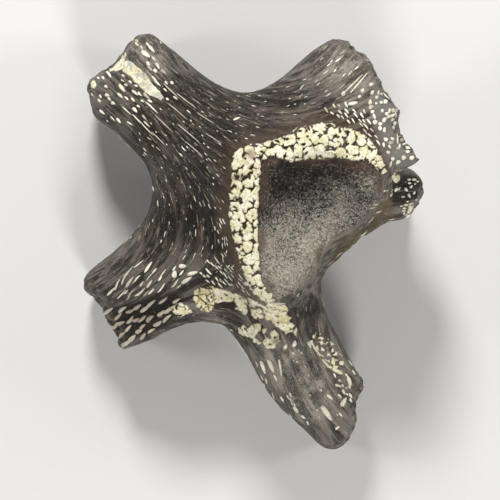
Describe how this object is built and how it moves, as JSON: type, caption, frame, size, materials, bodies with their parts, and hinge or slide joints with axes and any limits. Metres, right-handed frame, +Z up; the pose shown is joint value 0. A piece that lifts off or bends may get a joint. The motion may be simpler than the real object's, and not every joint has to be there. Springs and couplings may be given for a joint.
{
  "type": "fossil turtle vertebra",
  "caption": "Fossil turtle vertebra: star-shaped dark bone with sloping processes, a hollow joint face in a raised spongy rim, and a neural canal below.",
  "frame": {"origin": "on the floor under the middle of the bone's bounding box, with the bone lying as it rests", "axes": "+Z up, from the side that rests on the floor to the rim round the joint face; +Y from the long process towards the wing and the grooved process; +X towards the side with the wing and the stump"},
  "size_m": [0.0178, 0.0218, 0.0111],
  "materials": {
    "fossil_bone": "dark brown-black mineralised bone, semi-gloss, with cream-filled pits along the grain and worn cream spongy bone on the rim"
  },
  "bodies": {
    "root": {"vertebra": "fossil_bone"}
  },
  "joints": []
}
